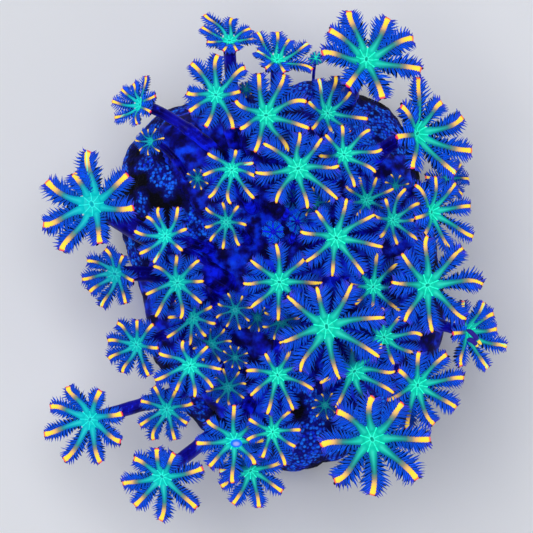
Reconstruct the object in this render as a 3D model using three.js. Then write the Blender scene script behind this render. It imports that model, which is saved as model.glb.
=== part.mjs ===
// A colony of clove polyps, a soft coral, grown over a loose piece of reef rock.
// Each polyp is a soft stalk with a crown of eight feathered tentacles round a flat mouth disc.
// Millimetres, +Z up. The origin is on the rock's flat underside, and +Y is the far side of the
// colony as it is seen from above.
import * as THREE from 'three';

// The rock: a lumpy stone that bulges round its heart, broken off flat underneath.
const ROCK_HEART = new THREE.Vector3(4, -1, 7);
const ROCK_HALF_SIZE = new THREE.Vector3(36, 42, 15);
const ROCK_FINENESS = 5;
const ROCK_SWELLS = [
  { bearing: 142, rise: 10 },
  { bearing: 60, rise: 6 },
  { bearing: 327, rise: 5 },
  { bearing: 278, rise: 6 },
  { bearing: 188, rise: -2 },
];
const SWELL_WIDTH = 26;
const KNOB_RISE = 1.3;
const KNOB_LENGTH = 13;
const KNOB_WAVES = { xShift: 1.3, yTurns: 0.9, yShift: 0.4, zTurns: 1.7, zSlant: 0.6, zShare: 0.6 };

// The mat: the thin purple tissue that creeps over the rock and joins the stalks.
const MAT_GAP = 0.4;
const MAT_THICKNESS = 1.8;
const MAT_RIM_THICKNESS = 0.6;
const MAT_EDGE = 0.14;
const MAT_LOBE = 0.06;
const MAT_LOBES = 5;
const BARE_RISE = 0.42;
const BARE_PATCHES = [
  { bearing: 153, width: 16 },
  { bearing: 60, width: 11 },
  { bearing: -82, width: 13 },
];

// The crowns, mostly in shares of their reach. A crown with a reach below SMALL_REACH has one
// station on each feather, and its stalk has fewer rings.
const ARMS = 8;
const SECTOR = 360 / ARMS;
const SMALL_REACH = 7.2;
const DISC_SHARE = 0.21;
const DISC_OVER_STALK = 1.05;
const RIB_SHARE = 0.1;
const RIB_LEAST = 0.35;
const RIB_TAPER = 0.45;
const FEATHER_DROP = 0.3;
const FEATHER_ROOM = 0.45;
const FEATHER_STATIONS = [
  { along: 0.44, width: 0.185 },
  { along: 0.82, width: 0.13 },
];
const SMALL_FEATHER_STATIONS = [{ along: 0.6, width: 0.2 }];
const BEND_ALONG = 0.55;
const BEND_CUP = 0.6;
const BEND_ARCH = 0.14;

// The stalks: how wide and curved they are, and where and how they stand.
const STALK_SHARE = 0.17;
const STALK_LEAST = 0.15;
const STALK_PULL = { head: 0.4, foot: 0.3 };
const NECK_SHARE = 0.55;
const FOOT_FLARE = 1.25;
const FOOT_GAP = 0.5;
const FOOT_PULL = 0.62;

const LOOKS = {
  rock: { color: '#0b0a3a', roughness: 0.9, metalness: 0 },
  mat: { color: '#1a1a8c', roughness: 0.55, metalness: 0 },
  polyp: { color: '#0a5fc8', roughness: 0.5, metalness: 0 },
};

// Every polyp: where the middle of its crown is, how it leans (bearing and degrees), how far its
// tentacle tips rise above the disc as a share of its reach (cup), and where each of its eight
// tips is (bearing and distance from the middle, seen from above). A crown with its tips all round
// has "even" in their place: the first bearing and the distance. Some have the place of the foot
// and the stalk's radius too. A bearing of 0 is +X and 90 is +Y.
const POLYPS = [
  // the far left corner
  { name: 'polyp_01', at: [-8.4, 51, 37], lean: [90, 38], cup: 0.25, foot: [-7, 32], stalk: 1.6,
    tips: [[5, 6.5], [31, 5.5], [84, 5.3], [133, 8.3], [153, 7], [182, 5], [238, 2.6], [308, 2.8]] },
  { name: 'polyp_02', at: [-28.7, 36.8, 31], lean: [170, 48], cup: 0.35, foot: [-10, 25], stalk: 1.4,
    tips: [[28, 4], [78, 6.5], [108, 5], [140, 5.5], [172, 6.5], [206, 6.5], [262, 4.5], [324, 3]] },
  { name: 'polyp_03', at: [-26.2, 28.5, 29], lean: [175, 45], cup: 0.5, foot: [-18, 20], stalk: 0.9,
    tips: [[12, 3], [70, 3], [105, 2.8], [135, 3.2], [176, 3.6], [218, 3.4], [258, 3.2], [309, 3]] },
  { name: 'polyp_04', at: [-39.5, 14.1, 37], lean: [155, 14], cup: 0.1, foot: [-10, -3.5], stalk: 2.6,
    tips: [[39, 10.5], [93, 12], [121, 8], [153, 11.5], [203, 12], [237, 12.5], [282, 9], [355, 9.5]] },
  { name: 'polyp_05', at: [-11.4, 38.6, 46], lean: [115, 14], cup: 0.1,
    tips: [[8, 5.5], [43, 9], [87, 9], [128, 9], [176, 6.5], [212, 7], [252, 7.5], [297, 8.5]] },
  { name: 'polyp_06', at: [-7.8, 21.7, 47], lean: [120, 8], cup: 0.1,
    tips: [[19, 5], [79, 4.5], [145, 6.5], [190, 6.5], [230, 8], [268, 7.5], [308, 8], [346, 5.5]] },
  { name: 'polyp_07', at: [-22.8, 6.9, 44], lean: [170, 12], cup: 0.1,
    tips: [[18, 5], [66, 7], [104, 6.5], [135, 6], [171, 7], [215, 7], [247, 6.5], [319, 5]] },
  { name: 'polyp_08', at: [-9.1, 10, 45], lean: [200, 5], cup: 0.1,
    tips: [[52, 4.5], [100, 4.5], [145, 5.5], [193, 4.8], [230, 5.5], [263, 6], [300, 6], [351, 4.5]] },
  { name: 'polyp_09', at: [-15.6, 19.9, 36], lean: [140, 10], cup: 0.3, even: [20, 2.6] },
  // the far middle and right
  { name: 'polyp_10', at: [-0.1, 33.9, 50], lean: [90, 10], cup: 0.1,
    tips: [[19, 9.5], [66, 10], [100, 9.5], [154, 7.5], [207, 6.5], [253, 8.5], [300, 9.5], [343, 10]] },
  { name: 'polyp_11', at: [2.4, 46.5, 42], lean: [85, 38], cup: 0.25, foot: [3, 35], stalk: 1.5,
    tips: [[29, 8], [60, 5.5], [90, 6.5], [124, 7.8], [155, 5], [215, 3.2], [302, 3.2], [345, 8.2]] },
  { name: 'polyp_12', at: [22.4, 46.5, 49], lean: [60, 20], cup: 0.25, foot: [17, 34],
    tips: [[24, 11.5], [62, 10.5], [110, 11.5], [142, 10.5], [173, 10], [235, 7.5], [292, 9.5], [349, 12.5]] },
  { name: 'polyp_13', at: [13.8, 34.5, 45], lean: [70, 10], cup: 0.15,
    tips: [[43, 7], [78, 8.5], [105, 8], [149, 5], [225, 5], [283, 5], [320, 6.5], [352, 9]] },
  { name: 'polyp_14', at: [17.4, 25.1, 50], lean: [45, 10], cup: 0.1,
    tips: [[8, 8.5], [44, 8], [94, 6.5], [133, 6], [182, 5.5], [240, 5.5], [288, 7.5], [331, 8]] },
  { name: 'polyp_15', at: [7.1, 21.9, 55], lean: [100, 6], cup: 0.05, foot: [8, 17],
    tips: [[4, 9], [52, 8.5], [88, 8], [144, 9.5], [185, 9.5], [237, 9], [283, 9], [322, 11]] },
  { name: 'polyp_16', at: [22.6, 15, 40], lean: [20, 8], cup: 0.15,
    tips: [[23, 6.5], [66, 5.5], [107, 5.5], [146, 5.5], [188, 5], [240, 4.2], [290, 4.8], [341, 5.5]] },
  { name: 'polyp_17', at: [28.5, 10.5, 44], lean: [10, 14], cup: 0.1,
    tips: [[32, 7], [68, 7.5], [110, 5], [167, 4.5], [232, 4.8], [280, 5.5], [321, 7], [357, 5.5]] },
  { name: 'polyp_18', at: [15.6, 6.4, 54], lean: [0, 5], cup: 0.05,
    tips: [[31, 10], [75, 9], [127, 7.5], [170, 8], [218, 8.5], [264, 8.5], [307, 10], [349, 10.5]] },
  { name: 'polyp_19', at: [10.9, 14.3, 42], lean: [0, 0], cup: 0.3, even: [10, 3.6] },
  { name: 'polyp_20', at: [33.9, 30, 42], lean: [5, 34], cup: 0.5, foot: [23, 23],
    tips: [[20, 11], [52, 9], [89, 12.5], [122, 7], [192, 4.8], [262, 8], [314, 12.5], [343, 13]] },
  { name: 'polyp_21', at: [37.2, 12.3, 40], lean: [0, 34], cup: 0.45, foot: [26, 9],
    tips: [[9, 9], [50, 8.5], [84, 8], [122, 7], [200, 4], [254, 6.5], [298, 9.5], [330, 11]] },
  { name: 'polyp_22', at: [29.1, 18.1, 35], lean: [20, 20], cup: 0.3, even: [15, 3.2] },
  { name: 'polyp_23', at: [41, 20, 32], lean: [15, 50], cup: 0.3, foot: [31, 16], even: [0, 5] },
  // the near right
  { name: 'polyp_24', at: [36.1, -4.2, 49], lean: [0, 16], cup: 0.15,
    tips: [[1, 12.5], [46, 11.5], [90, 11], [129, 9], [175, 8], [238, 9.5], [276, 10.5], [319, 11.5]] },
  { name: 'polyp_25', at: [24, -4.6, 45], lean: [0, 8], cup: 0.1,
    tips: [[9, 7], [44, 8], [83, 8], [132, 7], [171, 5.8], [225, 5.5], [272, 5.2], [318, 8]] },
  { name: 'polyp_26', at: [13.4, -13.4, 58], lean: [300, 5], cup: 0.05,
    tips: [[9, 13], [59, 11], [104, 9], [142, 11], [199, 11], [240, 11.5], [284, 12], [330, 13.5]] },
  { name: 'polyp_27', at: [26.4, -15.9, 48], lean: [340, 8], cup: 0.1,
    tips: [[3, 8.5], [52, 6.5], [92, 6.5], [142, 7], [187, 7.5], [232, 7.5], [290, 6.5], [335, 9]] },
  { name: 'polyp_28', at: [45.6, -14.7, 37], lean: [350, 36], cup: 0.4, foot: [31, -11],
    tips: [[5, 6.5], [35, 7], [62, 7.5], [100, 7], [187, 3.6], [258, 8], [298, 9.5], [339, 9.5]] },
  { name: 'polyp_29', at: [19.7, -23.5, 51], lean: [300, 8], cup: 0.1,
    tips: [[0, 9], [45, 8.5], [93, 7.5], [144, 7], [199, 8], [243, 9], [288, 9], [331, 10]] },
  { name: 'polyp_30', at: [34, -26.7, 46], lean: [320, 18], cup: 0.2,
    tips: [[9, 10.5], [47, 9.5], [88, 7.5], [143, 5.5], [205, 7.5], [256, 10], [293, 9.5], [330, 10]] },
  { name: 'polyp_31', at: [23.6, -38.6, 55], lean: [300, 10], cup: 0.05, foot: [15, -28],
    tips: [[0, 13], [50, 10.5], [89, 9.5], [142, 10], [187, 11.5], [228, 12.5], [270, 12.5], [318, 13.5]] },
  // the near left
  { name: 'polyp_32', at: [-34.3, -1.7, 36], lean: [185, 22], cup: 0.2, foot: [-19, -2], stalk: 1.9,
    tips: [[66, 4.5], [111, 6], [155, 7], [189, 7.5], [215, 7], [247, 8], [290, 7], [340, 4.5]] },
  { name: 'polyp_33', at: [-20.1, -3.7, 41], lean: [190, 8], cup: 0.1, foot: [-13, -8.2],
    tips: [[46, 7], [92, 6.2], [145, 6.5], [200, 7.5], [237, 9], [275, 8], [320, 7], [4, 5.8]] },
  { name: 'polyp_34', at: [-16.7, -11.7, 37], lean: [210, 5], cup: 0.1,
    tips: [[32, 5], [81, 5], [135, 5.5], [178, 5.5], [217, 7.2], [263, 6], [306, 5], [347, 5.2]] },
  { name: 'polyp_35', at: [-7.1, -9.8, 41], lean: [200, 4], cup: 0.15,
    tips: [[62, 3.5], [114, 4], [160, 4], [203, 4.5], [243, 4.2], [285, 4.5], [322, 4], [10, 3.8]] },
  { name: 'polyp_36', at: [-29.5, -17.7, 35], lean: [195, 18], cup: 0.15, foot: [-19, -14],
    tips: [[50, 6], [88, 5.5], [131, 6.5], [172, 6.5], [207, 7], [244, 7], [292, 7.5], [352, 5]] },
  { name: 'polyp_37', at: [-12.5, -17.7, 33], lean: [210, 4], cup: 0.15,
    tips: [[9, 4.5], [50, 4.5], [92, 4.2], [146, 4.2], [193, 4.2], [243, 4.2], [296, 4.2], [335, 4.5]] },
  { name: 'polyp_38', at: [-17.2, -22.4, 43], lean: [215, 10], cup: 0.1, foot: [-10.5, -24.5],
    tips: [[48, 5.8], [106, 5.8], [158, 7.5], [202, 8.5], [240, 6.5], [278, 7], [316, 7], [354, 7]] },
  { name: 'polyp_39', at: [-7.1, -20.6, 39], lean: [0, 0], cup: 0.3, foot: [-5, -19], even: [22, 3] },
  { name: 'polyp_40', at: [-8.7, -27.3, 36], lean: [240, 5], cup: 0.15, foot: [-6, -24],
    tips: [[10, 4], [54, 4.2], [105, 4.2], [150, 4.2], [191, 5], [234, 4.3], [276, 4.3], [325, 4.3]] },
  { name: 'polyp_41', at: [-2.1, -11.6, 36], lean: [0, 0], cup: 0.25, foot: [-1, -11], even: [5, 3.2] },
  { name: 'polyp_42', at: [3.3, -12.5, 42], lean: [0, 0], cup: 0.2,
    tips: [[13, 4.2], [57, 4.2], [104, 4.2], [150, 4.2], [195, 4.2], [248, 4.2], [292, 4.2], [334, 4.2]] },
  { name: 'polyp_43', at: [-40.1, -34.8, 30], lean: [190, 16], cup: 0.1, foot: [-15, -27.5],
    tips: [[11, 7.5], [70, 7], [124, 9], [163, 9.5], [198, 11], [237, 11], [284, 10], [325, 8.5]] },
  { name: 'polyp_44', at: [-22.6, -32.5, 34], lean: [215, 12], cup: 0.1, foot: [-14, -20.5],
    tips: [[15, 6], [65, 5], [118, 6], [161, 6.2], [210, 7], [246, 7.5], [285, 7], [327, 5.5]] },
  { name: 'polyp_45', at: [-23.7, -47.6, 35], lean: [230, 16], cup: 0.15, foot: [-6, -34], stalk: 1.75,
    tips: [[12, 9.5], [62, 6], [100, 6.5], [147, 7.5], [190, 9], [227, 9], [268, 10], [318, 10.5]] },
  { name: 'polyp_46', at: [-7.3, -39.3, 42], lean: [240, 8], cup: 0.1, foot: [-3, -30],
    tips: [[2, 6.8], [42, 7], [90, 8], [142, 7.5], [184, 8.5], [226, 8], [268, 9.5], [311, 7]] },
  { name: 'polyp_47', at: [-3.6, -46.2, 38], lean: [255, 14], cup: 0.1, foot: [1, -34],
    tips: [[17, 7], [52, 5.5], [122, 5], [180, 7], [208, 7.5], [242, 8.5], [283, 8.5], [327, 8.5]] },
  { name: 'polyp_48', at: [1.4, -37.2, 46], lean: [280, 8], cup: 0.1, foot: [5, -30],
    tips: [[4, 6.2], [50, 6], [100, 6], [152, 6], [198, 6], [248, 6.2], [290, 8], [327, 6]] },
  { name: 'polyp_49', at: [2.5, -24.4, 49], lean: [250, 5], cup: 0.08,
    tips: [[20, 7], [65, 6.2], [120, 5.5], [172, 7], [217, 7.5], [255, 9], [294, 8.5], [338, 8.5]] },
  { name: 'polyp_50', at: [2.9, -3.5, 51], lean: [150, 4], cup: 0.05,
    tips: [[45, 8.5], [95, 8.5], [143, 8], [182, 8], [222, 8.5], [268, 8.5], [318, 8], [359, 9.5]] },
  { name: 'polyp_51', at: [13.2, -31.3, 40], lean: [0, 0], cup: 0.25, even: [12, 3.2] },
  // closed and half closed crowns
  { name: 'bud_01', at: [1.5, 7.8, 40], lean: [0, 0], cup: 1.1, even: [0, 2.4] },
  { name: 'bud_02', at: [6, 15, 43], lean: [0, 0], cup: 0.8, even: [15, 2.4], foot: [4, 11] },
  { name: 'bud_03', at: [6.9, 10, 44], lean: [0, 0], cup: 0.8, even: [30, 2.4] },
  { name: 'bud_04', at: [11.1, 46.9, 40], lean: [80, 30], cup: 1.2, even: [10, 1.6], foot: [11, 39.5] },
  { name: 'bud_05', at: [-4.6, 40, 40], lean: [90, 10], cup: 0.8, even: [0, 1.8], foot: [-3, 33] },
];

const turned = (degrees) => THREE.MathUtils.degToRad(degrees);
const onBearing = (degrees, distance, z = 0) =>
  new THREE.Vector3(distance * Math.cos(turned(degrees)), distance * Math.sin(turned(degrees)), z);

// How far the rock reaches from its heart in one direction.
function rockReach(direction) {
  const { x, y, z } = direction;
  const round = 1 / Math.hypot(x / ROCK_HALF_SIZE.x, y / ROCK_HALF_SIZE.y, z / ROCK_HALF_SIZE.z);
  const bearing = THREE.MathUtils.radToDeg(Math.atan2(y, x));
  const level = Math.hypot(x, y);
  let reach = round;
  for (const swell of ROCK_SWELLS) {
    const away = ((bearing - swell.bearing + 540) % 360) - 180;
    reach += swell.rise * level ** 3 * Math.exp(-((away / SWELL_WIDTH) ** 2));
  }
  const at = direction.clone().multiplyScalar((round * 2 * Math.PI) / KNOB_LENGTH);
  const { xShift, yTurns, yShift, zTurns, zSlant, zShare } = KNOB_WAVES;
  const across = Math.sin(at.x + xShift) * Math.sin(at.y * yTurns + yShift);
  const upwards = zShare * Math.sin(at.z * zTurns + at.x * zSlant);
  return reach + KNOB_RISE * (across + upwards);
}

// The rock's own facets: a ball of triangles whose corners are moved out to its surface, and
// flattened at the broken face that it lies on.
const ball = new THREE.IcosahedronGeometry(1, ROCK_FINENESS);
const SAME_CORNER = 1e-3;
const corners = [];
const triangles = [];

function cornerNumber(direction) {
  const same = corners.findIndex((corner) => corner.distanceTo(direction) < SAME_CORNER);
  return same >= 0 ? same : corners.push(direction) - 1;
}

for (let face = 0; face < ball.attributes.position.count; face += 3) {
  const numbers = [0, 1, 2].map((corner) => {
    const direction = new THREE.Vector3().fromBufferAttribute(ball.attributes.position, face + corner);
    return cornerNumber(direction.normalize());
  });
  triangles.push(numbers);
}

function rockPoint(direction, lift = 0) {
  const point = direction.clone().multiplyScalar(rockReach(direction) + lift).add(ROCK_HEART);
  point.z = Math.max(point.z, 0);
  return point;
}

function solidOf(points, faces, look, name) {
  const geometry = new THREE.BufferGeometry();
  geometry.setAttribute('position', new THREE.Float32BufferAttribute(points.flatMap((p) => p.toArray()), 3));
  geometry.setIndex(faces.flat());
  const mesh = new THREE.Mesh(geometry, new THREE.MeshStandardMaterial(look));
  mesh.name = name;
  return mesh;
}

function buildRock() {
  return solidOf(corners.map((direction) => rockPoint(direction)), triangles, LOOKS.rock, 'rock');
}

// The mat lies on the rock's upper facets out to a lobed edge, but for a few bare patches.
function isUnderMat(direction) {
  const bearing = THREE.MathUtils.radToDeg(Math.atan2(direction.y, direction.x));
  const lobe = MAT_LOBE * Math.sin(turned(MAT_LOBES * bearing));
  const patches = BARE_PATCHES.map((patch) => Math.exp(-(((bearing - patch.bearing) / patch.width) ** 2)));
  return direction.z > MAT_EDGE + lobe + BARE_RISE * Math.max(...patches);
}

const sidesOf = ([a, b, c]) => [[a, b], [b, c], [c, a]];

// The sides of some facets that no other one of them shares.
function openSides(facets) {
  const sides = facets.flatMap(sidesOf);
  const known = new Set(sides.map(String));
  return sides.filter(([a, b]) => !known.has(String([b, a])));
}

// The facets under the mat, without those that would stick out of its edge as spurs.
function matFacets() {
  let facets = triangles.filter((triangle) => triangle.every((corner) => isUnderMat(corners[corner])));
  let before;
  do {
    before = facets.length;
    const open = new Set(openSides(facets).map(String));
    facets = facets.filter((facet) => sidesOf(facet).filter((side) => open.has(String(side))).length < 2);
  } while (facets.length < before);
  return facets;
}

// The mat is one closed sheet, and it thins out at its rim.
function buildMat() {
  const facets = matFacets();
  const rim = openSides(facets);
  const atRim = new Set(rim.flat());
  const used = [...new Set(facets.flat())];
  const upper = new Map(used.map((corner, place) => [corner, place]));
  const under = (corner) => upper.get(corner) + used.length;
  const thickness = (corner) => (atRim.has(corner) ? MAT_RIM_THICKNESS : MAT_THICKNESS);
  const points = [
    ...used.map((corner) => rockPoint(corners[corner], MAT_GAP + thickness(corner))),
    ...used.map((corner) => rockPoint(corners[corner], MAT_GAP)),
  ];
  const faces = facets.flatMap(([a, b, c]) => [
    [upper.get(a), upper.get(b), upper.get(c)],
    [under(a), under(c), under(b)],
  ]);
  for (const [a, b] of rim) {
    faces.push([upper.get(a), under(a), under(b)], [upper.get(a), under(b), upper.get(b)]);
  }
  return solidOf(points, faces, LOOKS.mat, 'stolon_mat');
}

const rock = buildRock();
const mat = buildMat();
const downwards = new THREE.Raycaster();
const ABOVE_ALL = 100;

// The height of the mat, or of the rock where it is bare, below a point.
function groundAt(x, y) {
  downwards.set(new THREE.Vector3(x, y, ABOVE_ALL), new THREE.Vector3(0, 0, -1));
  const hits = downwards.intersectObjects([rock, mat]);
  if (hits.length === 0) {
    throw new Error(`no rock under ${x}, ${y}`);
  }
  return hits[0].point.z;
}

// Sets a foot's rim and its middle down on the ground, clear of any ridge between them.
function seat(rim, middle) {
  for (const point of [...rim, middle]) {
    point.z = groundAt(point.x, point.y) + FOOT_GAP;
  }
  const between = rim.flatMap((point, number) => [
    point.clone().lerp(middle, 0.5),
    point.clone().lerp(rim[(number + 1) % rim.length], 0.5),
  ]);
  const ridge = Math.max(...between.map(({ x, y, z }) => groundAt(x, y) + FOOT_GAP - z), 0);
  for (const point of [...rim, middle]) {
    point.z += ridge;
  }
}

// The eight tips in order round the crown, and the even turn of the tentacle roots below them.
function tentaclePlan({ tips, even }) {
  const places = tips ?? Array.from({ length: ARMS }, (_, arm) => [even[0] + SECTOR * arm, even[1]]);
  const sorted = [...places].sort((a, b) => a[0] - b[0]);
  const drift = sorted.map(([bearing], arm) => bearing - SECTOR * arm);
  const turn = drift.reduce((sum, value) => sum + value, 0) / drift.length;
  return sorted.map(([bearing, distance], arm) => ({ bearing, distance, root: turn + SECTOR * arm }));
}

// A closed shell of one polyp: foot, stalk, disc and eight feathers.
function buildPolyp(polyp) {
  const arms = tentaclePlan(polyp);
  const reach = arms.reduce((sum, arm) => sum + arm.distance, 0) / arms.length;
  const small = reach < SMALL_REACH;
  const stalk = polyp.stalk ?? STALK_SHARE * reach + STALK_LEAST;
  const disc = Math.max(DISC_SHARE * reach, DISC_OVER_STALK * stalk);
  const rib = Math.max(RIB_SHARE * reach, RIB_LEAST);
  const drop = FEATHER_DROP * rib;
  const head = new THREE.Vector3(...polyp.at);
  const [leanBearing, leanDegrees] = polyp.lean;
  const upright = onBearing(leanBearing, Math.sin(turned(leanDegrees)), Math.cos(turned(leanDegrees)));
  const tilt = new THREE.Quaternion().setFromUnitVectors(new THREE.Vector3(0, 0, 1), upright);
  const onDisc = (degrees, radius, height) =>
    onBearing(degrees, radius, height).applyQuaternion(tilt).add(head);

  const points = [];
  const faces = [];
  const corner = (point) => points.push(point) - 1;
  const quad = (a, b, c, d) => faces.push([a, b, c], [a, c, d]);

  const webs = arms.map((arm) => corner(onDisc(arm.root + SECTOR / 2, disc, -drop)));
  const ridges = arms.map((arm) => corner(onDisc(arm.root, disc, rib)));
  const mouth = corner(onDisc(0, 0, drop));

  const stations = small ? SMALL_FEATHER_STATIONS : FEATHER_STATIONS;
  const paths = arms.map((arm) => {
    const tip = onBearing(arm.bearing, arm.distance);
    tip.z = polyp.cup * reach - tip.dot(onBearing(leanBearing, Math.tan(turned(leanDegrees))));
    const bend = onDisc(arm.root, BEND_ALONG * arm.distance, (BEND_CUP * polyp.cup + BEND_ARCH) * reach);
    return new THREE.QuadraticBezierCurve3(onDisc(arm.root, disc, 0), bend, tip.add(head));
  });

  arms.forEach((arm, number) => {
    const earlier = (number + ARMS - 1) % ARMS;
    const later = (number + 1) % ARMS;
    let last = [webs[earlier], webs[number], ridges[number]];
    for (const { along, width } of stations) {
      const middle = paths[number].getPoint(along);
      const room = Math.min(...[earlier, later].map((next) => middle.distanceTo(paths[next].getPoint(along))));
      const half = Math.min(width * reach, FEATHER_ROOM * room);
      const ahead = paths[number].getTangent(along);
      const side = upright.clone().cross(ahead).normalize();
      const top = ahead.clone().cross(side);
      const right = corner(middle.clone().addScaledVector(side, -half).addScaledVector(top, -drop));
      const left = corner(middle.clone().addScaledVector(side, half).addScaledVector(top, -drop));
      const ridge = corner(middle.clone().addScaledVector(top, rib * (1 - RIB_TAPER * along)));
      quad(last[2], ridge, left, last[1]);
      quad(last[0], right, ridge, last[2]);
      quad(last[0], last[1], left, right);
      last = [right, left, ridge];
    }
    const tip = corner(paths[number].getPoint(1));
    faces.push([last[2], tip, last[1]], [last[0], tip, last[2]], [last[1], tip, last[0]]);
    faces.push([mouth, ridges[number], webs[number]], [mouth, webs[number], ridges[later]]);
  });

  const [footX, footY] = polyp.foot ?? [
    ROCK_HEART.x + FOOT_PULL * (head.x - ROCK_HEART.x),
    ROCK_HEART.y + FOOT_PULL * (head.y - ROCK_HEART.y),
  ];
  const foot = new THREE.Vector3(footX, footY, groundAt(footX, footY));
  const height = head.distanceTo(foot);
  const line = new THREE.CubicBezierCurve3(
    head.clone(),
    head.clone().addScaledVector(upright, -STALK_PULL.head * height),
    foot.clone().add(new THREE.Vector3(0, 0, STALK_PULL.foot * height)),
    foot,
  );
  const neck = (NECK_SHARE * reach) / height;
  const rings = small
    ? [[neck, stalk], [1, stalk * FOOT_FLARE]]
    : [[neck, stalk], [(1 + neck) / 2, stalk], [1, stalk * FOOT_FLARE]];
  let above = webs;
  const spin = tilt.clone();
  let heading = upright.clone();
  for (const [along, radius] of rings) {
    const next = line.getTangentAt(along).negate();
    spin.premultiply(new THREE.Quaternion().setFromUnitVectors(heading, next));
    heading = next;
    const middle = line.getPointAt(along);
    const around = arms.map((arm) => onBearing(arm.root + SECTOR / 2, radius).applyQuaternion(spin).add(middle));
    if (along === 1) {
      seat(around, foot);
    }
    const ring = around.map(corner);
    ring.forEach((low, number) => {
      const next = (number + 1) % ARMS;
      quad(low, ring[next], above[next], above[number]);
    });
    above = ring;
  }
  const sole = corner(foot);
  above.forEach((low, number) => faces.push([sole, above[(number + 1) % ARMS], low]));
  return solidOf(points, faces, LOOKS.polyp, polyp.name);
}

const colony = new THREE.Group();
colony.add(rock, mat, ...POLYPS.map(buildPolyp));

export default colony;
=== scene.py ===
"""A clove polyp colony on its piece of reef rock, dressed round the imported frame."""
import math

import bpy
import numpy as np
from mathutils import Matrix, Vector, noise


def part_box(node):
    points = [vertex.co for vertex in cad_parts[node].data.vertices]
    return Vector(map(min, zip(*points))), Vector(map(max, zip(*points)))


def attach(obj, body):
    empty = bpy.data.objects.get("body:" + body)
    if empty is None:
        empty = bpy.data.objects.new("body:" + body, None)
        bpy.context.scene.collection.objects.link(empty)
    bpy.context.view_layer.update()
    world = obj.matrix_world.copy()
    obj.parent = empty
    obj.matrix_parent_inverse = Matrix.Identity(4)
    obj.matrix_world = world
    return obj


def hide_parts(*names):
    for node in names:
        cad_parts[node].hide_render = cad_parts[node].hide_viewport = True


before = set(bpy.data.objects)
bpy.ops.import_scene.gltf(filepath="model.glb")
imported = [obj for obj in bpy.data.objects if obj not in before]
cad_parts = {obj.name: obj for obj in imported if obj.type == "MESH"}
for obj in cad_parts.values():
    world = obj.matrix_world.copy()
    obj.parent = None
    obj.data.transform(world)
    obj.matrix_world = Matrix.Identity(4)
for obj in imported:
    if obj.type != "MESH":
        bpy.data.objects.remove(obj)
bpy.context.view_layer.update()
MM = 0.001


# The rock is a loose lump of old reef limestone, porous and knobbly, with a dark crust of
# coralline algae on it. It broke off flat underneath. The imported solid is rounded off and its
# crust raised in knobs, with pits between them.
ROCK_DARK = "#01010a"
ROCK_CRUST = "#080a70"
NODULE_DIM = "#0620d0"
NODULE_LIT = "#1a7cff"
ROCK_HEART = Vector((4, -1, 7)) * MM
ROCK_ROUNDS = 3
ROCK_KNOB = 4.2 * MM
ROCK_KNOB_RISE = 0.9 * MM
ROCK_PIT = 1.7 * MM
ROCK_PIT_DEPTH = 0.55 * MM
ROCK_NODULE = 0.75 * MM
ROCK_PATCH = 6 * MM
ROCK_LIVELY = 0.1
ROCK_SHADED = 0.07
ROCK_FLAT = 0.3 * MM
ROCK_FADE = 2 * MM


def linear(hex_colour):
    """The linear values of an sRGB hex colour, with its alpha."""
    shares = [int(hex_colour[place:place + 2], 16) / 255 for place in (1, 3, 5)]
    return [c / 12.92 if c <= 0.04045 else ((c + 0.055) / 1.055) ** 2.4 for c in shares] + [1.0]


def feed(tree, socket, source):
    """Sets a socket to a value, or links it to an output or to a node's first output."""
    if isinstance(source, bpy.types.Node):
        source = source.outputs[0]
    if isinstance(source, bpy.types.NodeSocket):
        tree.links.new(source, socket)
    else:
        socket.default_value = source


def add_node(tree, kind, links=(), stops=(), **settings):
    """A node with its settings, its colour stops as pairs of a place and a hex colour, and its
    links as pairs of its input and what feeds it."""
    made = tree.nodes.new(kind)
    for name, value in settings.items():
        setattr(made, name, value)
    elements = made.color_ramp.elements if stops else ()
    while len(elements) < len(stops):
        elements.new(0.5)
    for element, (place, hex_colour) in zip(elements, stops):
        element.position = place
        element.color = linear(hex_colour)
    for place, source in links:
        feed(tree, made.inputs[place], source)
    return made


def shares_of(tree, read, ranges):
    """Each named share: what it reads, stretched from one range to another and held at its ends.
    The second range is 0 to 1 where none is given."""
    return {
        name: add_node(tree, "ShaderNodeMapRange", enumerate((read[source], *numbers)))
        for name, (source, *numbers) in ranges.items()
    }


def multiplied(tree, shares):
    """The product of some shares."""
    total = shares[0]
    for share in shares[1:]:
        total = add_node(tree, "ShaderNodeMath", [(0, total), (1, share)], operation="MULTIPLY")
    return total


def layered(tree, colour, layers):
    """A colour with others laid over it in turn, each with the shares that it covers."""
    for hue, *shares in layers:
        upper = linear(hue) if isinstance(hue, str) else hue
        cover = multiplied(tree, shares)
        colour = add_node(tree, "ShaderNodeMix", [("Factor", cover), (6, colour), (7, upper)],
                          data_type="RGBA").outputs[2]
    return colour


def finish_named(name):
    """An empty material of that name, its node tree and its surface shader."""
    material = bpy.data.materials.new(name)
    material.use_nodes = True
    tree = material.node_tree
    return material, tree, tree.nodes["Principled BSDF"]


def finish_surface(tree, surface, colour, bumps, painted_glow, rough, gloss):
    """Gives a surface its colour, how strongly it is lit from within by that colour as painted light,
    whatever lamps fall on it, its roughness and gloss, and its bumps as a height, a distance and a strength."""
    bump = add_node(tree, "ShaderNodeBump", zip(("Height", "Distance", "Strength"), bumps))
    sources = {"Base Color": colour, "Emission Color": colour, "Emission Strength": painted_glow,
               "Roughness": rough, "Specular IOR Level": gloss, "Normal": bump}
    for name, source in sources.items():
        feed(tree, surface.inputs[name], source)


def rounded_copy(node, name, rounds):
    """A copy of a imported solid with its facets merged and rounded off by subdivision."""
    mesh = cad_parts[node].data.copy()
    piece = bpy.data.objects.new(name, mesh)
    bpy.context.scene.collection.objects.link(piece)
    weld = piece.modifiers.new("weld", "WELD")
    weld.merge_threshold = 0.01 * MM
    smooth = piece.modifiers.new("rounding", "SUBSURF")
    smooth.levels = smooth.render_levels = rounds
    return plain_mesh(piece)


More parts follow.
